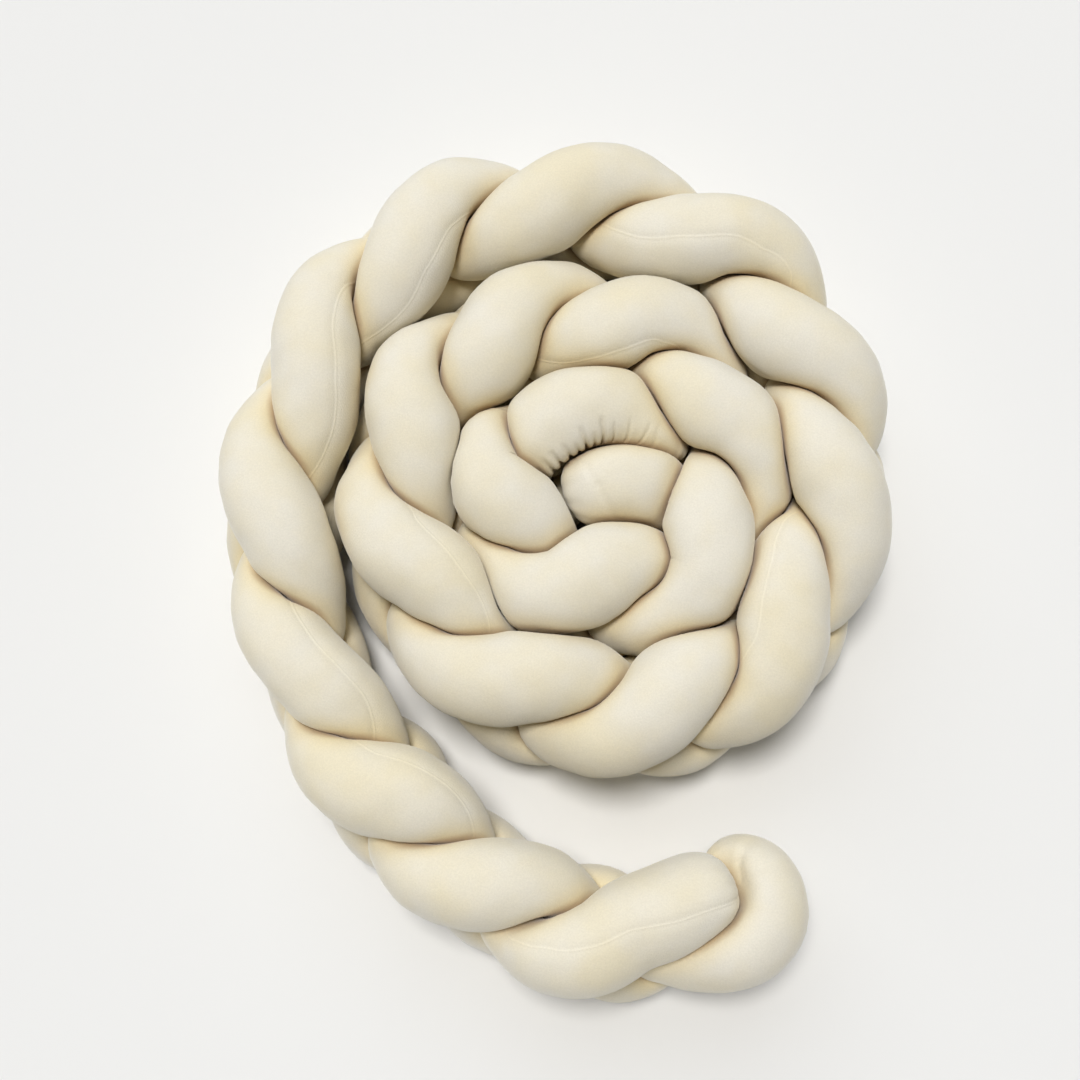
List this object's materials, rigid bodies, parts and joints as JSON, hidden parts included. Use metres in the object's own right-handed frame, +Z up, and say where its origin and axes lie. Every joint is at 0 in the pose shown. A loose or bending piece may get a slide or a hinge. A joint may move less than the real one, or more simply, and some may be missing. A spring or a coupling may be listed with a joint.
{
  "type": "crib bumper",
  "caption": "Stuffed velour tubes braided flat and rolled on edge into a spiral with a loose tail, to line the inside of a crib.",
  "frame": {"origin": "on the surface that the lowest lobes rest on, under the middle of the bounding box of roll and tail", "axes": "+Z up, from the lower edge of the braid to its upper edge; +Y across the roll away from the loose tail, the longest way; +X the way the tail's end points"},
  "size_m": [0.5182, 0.6612, 0.1523],
  "materials": {
    "cream_velour": "short cotton velour nap, cream, matt with a soft pale sheen at the edges"
  },
  "bodies": {
    "root": {"strand_a": "cream_velour", "strand_b": "cream_velour", "strand_c": "cream_velour"}
  },
  "joints": []
}
